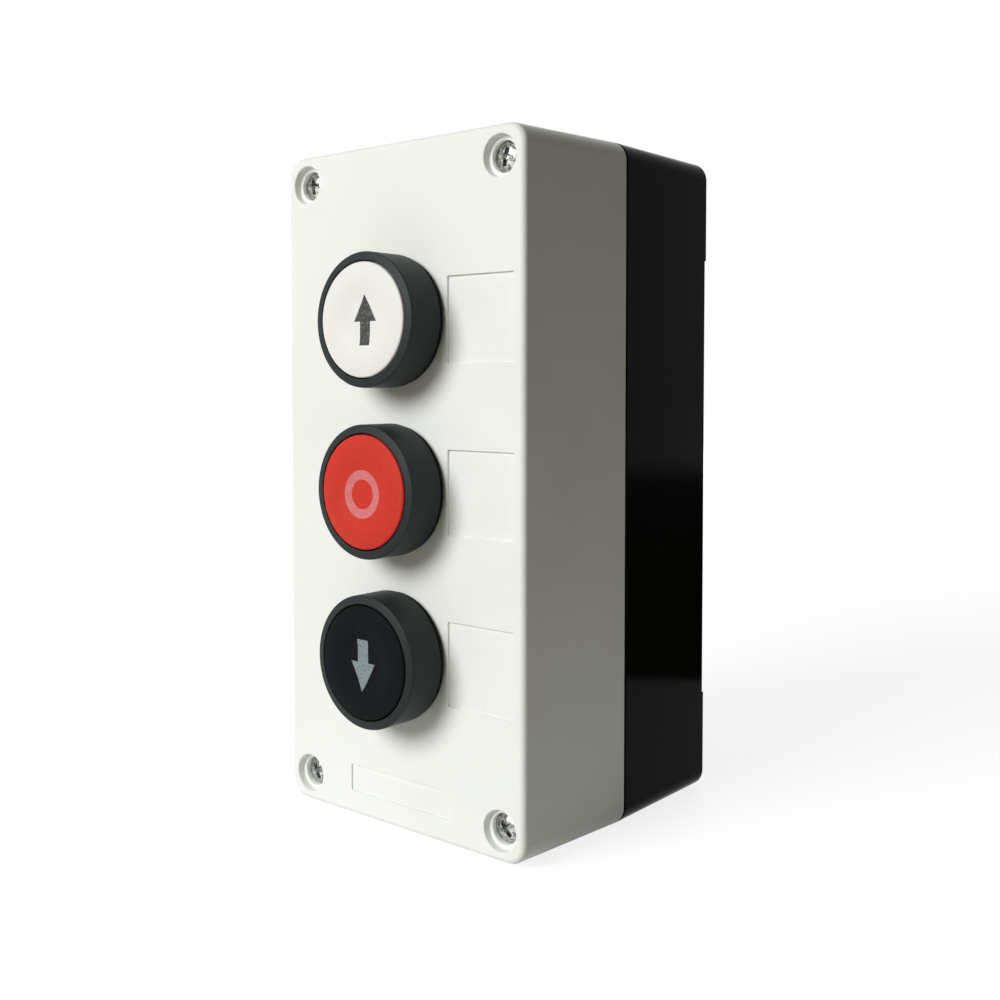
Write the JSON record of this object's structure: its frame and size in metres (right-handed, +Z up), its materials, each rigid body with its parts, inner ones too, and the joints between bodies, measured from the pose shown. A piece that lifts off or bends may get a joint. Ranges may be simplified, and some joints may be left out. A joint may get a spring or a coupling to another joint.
{
  "type": "push button control station",
  "caption": "Upright surface-mounted control station: a pale drafted cover on a black box, with spring-return push buttons for up, stop and down in a column and a contact block behind each.",
  "frame": {"origin": "middle of the bottom of the bounding box: under the middle of the lower end, where it stands", "axes": "+Z up along the column of buttons, +Y into the wall behind the back pads, -Y out of the front face, +X to the right as seen from the front"},
  "size_m": [0.07, 0.0772, 0.1464],
  "materials": {
    "cover": "smooth moulded plastic with a soft sheen",
    "base": "glossy black moulded plastic",
    "bezel": "fine satin black plastic",
    "seal": "matt black rubber",
    "cap_up": "satin white plastic",
    "cap_stop": "satin red plastic",
    "cap_down": "satin black plastic",
    "zinc": "bright zinc plate on steel",
    "inner_plastic": "dark grey moulded plastic",
    "block_make": "green moulded plastic",
    "block_break": "red moulded plastic",
    "plunger": "pale moulded plastic",
    "brass": "plain brass",
    "spring_steel": "drawn spring steel"
  },
  "bodies": {
    "enclosure": {"front_cover": "cover", "rear_base": "base", "cover_gasket": "seal", "cover_screw_top_left": "zinc", "cover_screw_top_right": "zinc", "cover_screw_bottom_left": "zinc", "cover_screw_bottom_right": "zinc", "up_bezel": "bezel", "up_return_spring": "spring_steel", "up_panel_seal": "seal", "up_ring_nut": "inner_plastic", "up_block_holder": "inner_plastic", "up_contact_housing": "block_make", "up_contact_cover": "inner_plastic", "up_contact_spring": "spring_steel", "up_terminal_left": "brass", "up_terminal_right": "brass", "up_terminal_screw_left": "zinc", "up_terminal_screw_right": "zinc", "stop_bezel": "bezel", "stop_return_spring": "spring_steel", "stop_panel_seal": "seal", "stop_ring_nut": "inner_plastic", "stop_block_holder": "inner_plastic", "stop_contact_housing": "block_break", "stop_contact_cover": "inner_plastic", "stop_contact_spring": "spring_steel", "stop_terminal_left": "brass", "stop_terminal_right": "brass", "stop_terminal_screw_left": "zinc", "stop_terminal_screw_right": "zinc", "down_bezel": "bezel", "down_return_spring": "spring_steel", "down_panel_seal": "seal", "down_ring_nut": "inner_plastic", "down_block_holder": "inner_plastic", "down_contact_housing": "block_make", "down_contact_cover": "inner_plastic", "down_contact_spring": "spring_steel", "down_terminal_left": "brass", "down_terminal_right": "brass", "down_terminal_screw_left": "zinc", "down_terminal_screw_right": "zinc"},
    "up_button": {"up_cap": "cap_up", "up_pusher": "inner_plastic"},
    "up_contact": {"up_contact_plunger": "plunger", "up_contact_bridge": "brass"},
    "stop_button": {"stop_cap": "cap_stop", "stop_pusher": "inner_plastic"},
    "stop_contact": {"stop_contact_plunger": "plunger", "stop_contact_bridge": "brass"},
    "down_button": {"down_cap": "cap_down", "down_pusher": "inner_plastic"},
    "down_contact": {"down_contact_plunger": "plunger", "down_contact_bridge": "brass"}
  },
  "joints": [
    {"name": "up_press", "type": "slide", "parent": "enclosure", "child": "up_button", "axis": [0, 1, 0], "range_m": [0, 0.004], "stiffness_N_per_m": 700, "springref_m": -0.004, "deforming": ["up_return_spring"]},
    {"name": "up_contact_travel", "type": "slide", "parent": "enclosure", "child": "up_contact", "axis": [0, 1, 0], "range_m": [0, 0.004], "stiffness_N_per_m": 150, "springref_m": -0.004, "deforming": ["up_contact_spring"]},
    {"name": "stop_press", "type": "slide", "parent": "enclosure", "child": "stop_button", "axis": [0, 1, 0], "range_m": [0, 0.004], "stiffness_N_per_m": 700, "springref_m": -0.004, "deforming": ["stop_return_spring"]},
    {"name": "stop_contact_travel", "type": "slide", "parent": "enclosure", "child": "stop_contact", "axis": [0, 1, 0], "range_m": [0, 0.004], "stiffness_N_per_m": 150, "springref_m": -0.004, "deforming": ["stop_contact_spring"]},
    {"name": "down_press", "type": "slide", "parent": "enclosure", "child": "down_button", "axis": [0, 1, 0], "range_m": [0, 0.004], "stiffness_N_per_m": 700, "springref_m": -0.004, "deforming": ["down_return_spring"]},
    {"name": "down_contact_travel", "type": "slide", "parent": "enclosure", "child": "down_contact", "axis": [0, 1, 0], "range_m": [0, 0.004], "stiffness_N_per_m": 150, "springref_m": -0.004, "deforming": ["down_contact_spring"]}
  ],
  "couplings": [
    {"joint": "up_contact_travel", "follows": "up_press", "ratio": 1},
    {"joint": "stop_contact_travel", "follows": "stop_press", "ratio": 1},
    {"joint": "down_contact_travel", "follows": "down_press", "ratio": 1}
  ]
}
